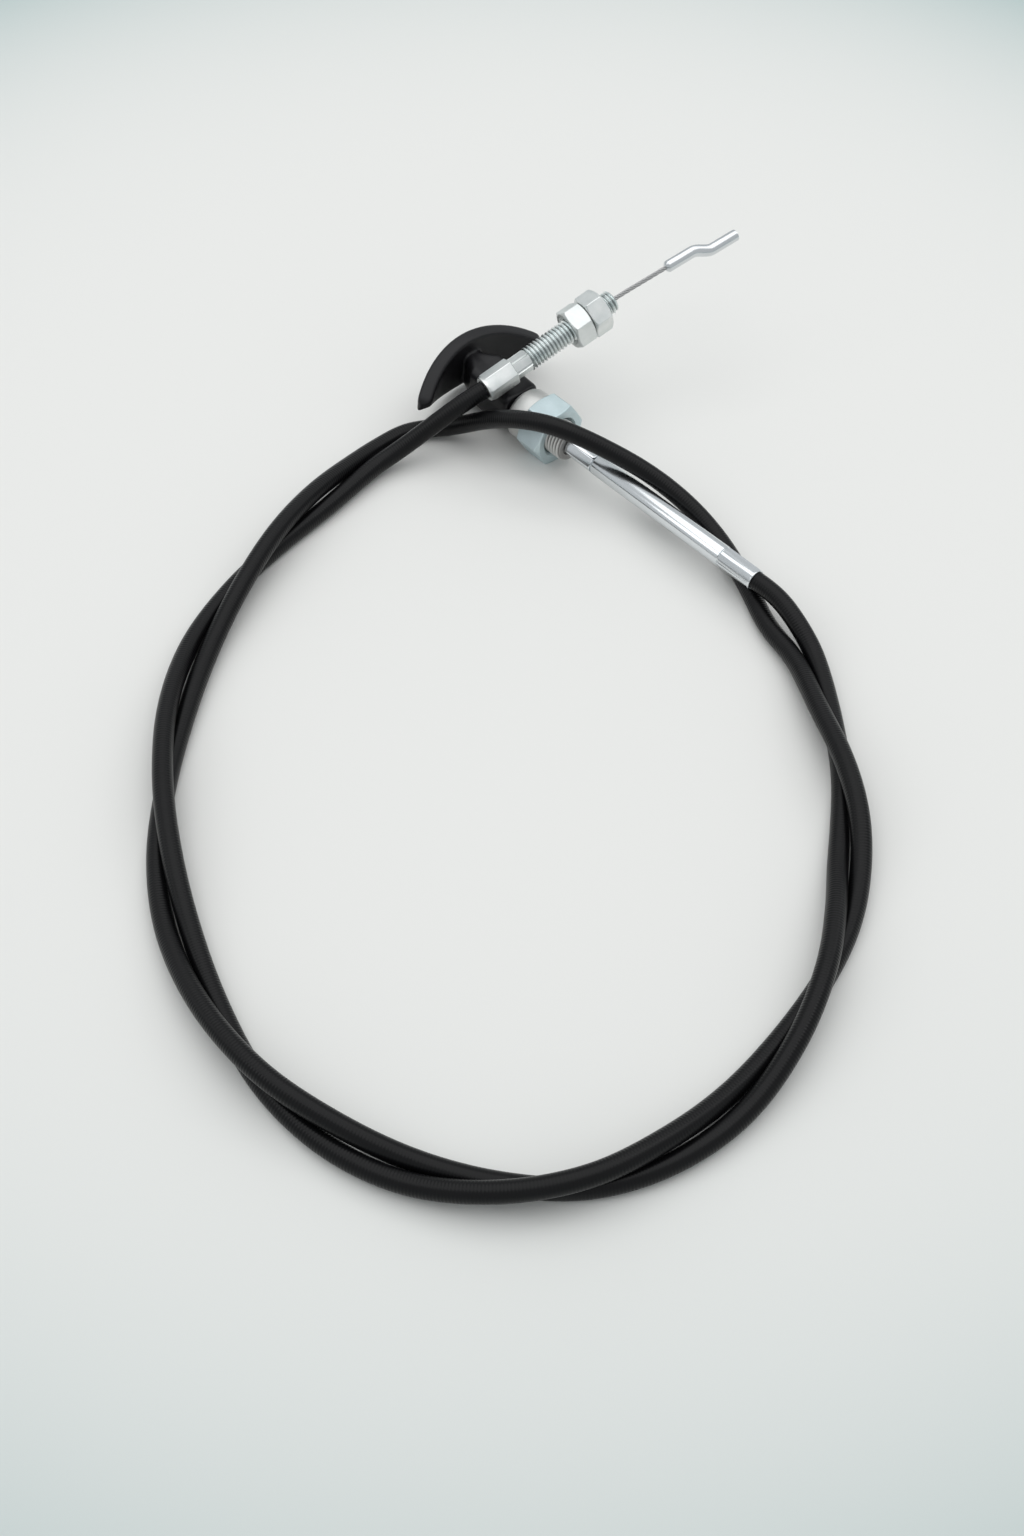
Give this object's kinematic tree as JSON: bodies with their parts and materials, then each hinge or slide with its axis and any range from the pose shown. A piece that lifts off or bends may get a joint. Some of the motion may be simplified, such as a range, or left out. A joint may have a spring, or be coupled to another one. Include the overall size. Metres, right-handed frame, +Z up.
{
  "type": "push-pull control cable",
  "caption": "Push-pull control cable with a T-handle, panel bushing and guide tube, a black conduit in a twisted loop, and a threaded end with lock nuts and a swaged wire fitting.",
  "frame": {"origin": "on the pull axis, at the collar face that seats on a panel", "axes": "+X along the pull axis from the handle through the panel into the guide tube, +Z up; the cable lies on a surface 9.5 mm below the pull axis"},
  "size_m": [0.261, 0.308, 0.0416],
  "materials": {
    "handle_plastic": "satin moulded nylon",
    "jacket_pvc": "semi-gloss ribbed PVC",
    "liner": "plain",
    "steel": "drawn",
    "wire": "drawn and stranded",
    "bushing_zinc": "zinc plated, turned",
    "nut_zinc": "bluish zinc plated",
    "tube_chrome": "polished",
    "ferrule_zinc": "bright zinc plated, crimped",
    "sleeve_zinc": "bluish zinc plated thread",
    "lock_nut_zinc": "zinc plated",
    "fitting_steel": "bright zinc plated, swaged"
  },
  "bodies": {
    "cable": {"guide_tube": "tube_chrome", "panel_bushing": "bushing_zinc", "conduit_jacket": "jacket_pvc", "conduit_winding": "wire", "conduit_liner": "liner", "core_wire": "wire", "end_ferrule": "ferrule_zinc", "threaded_sleeve": "sleeve_zinc"},
    "handle": {"t_handle": "handle_plastic", "pull_rod": "steel", "rod_wire": "wire"},
    "panel_nut_body": {"panel_nut": "nut_zinc"},
    "inner_nut_body": {"lock_nut_inner": "lock_nut_zinc"},
    "outer_nut_body": {"lock_nut_outer": "lock_nut_zinc"},
    "output_end": {"output_wire_core": "wire", "output_wire_strands": "wire", "end_fitting": "fitting_steel"}
  },
  "joints": [
    {"name": "handle_pull", "type": "slide", "parent": "cable", "child": "handle", "axis": [-1, 0, 0], "range_m": [0, 0.018]},
    {"name": "wire_out", "type": "slide", "parent": "cable", "child": "output_end", "axis": [0.1347, 0.9587, 0.2504], "range_m": [-0.018, 0]},
    {"name": "panel_nut_run", "type": "slide", "parent": "cable", "child": "panel_nut_body", "axis": [1, 0, 0], "range_m": [0, 0.0055]},
    {"name": "inner_nut_run", "type": "slide", "parent": "cable", "child": "inner_nut_body", "axis": [0.1347, 0.9587, 0.2504], "range_m": [-0.0155, 0]},
    {"name": "outer_nut_run", "type": "slide", "parent": "cable", "child": "outer_nut_body", "axis": [0.1347, 0.9587, 0.2504], "range_m": [0, 0.004]}
  ],
  "couplings": [
    {"joint": "wire_out", "follows": "handle_pull", "ratio": -1}
  ]
}
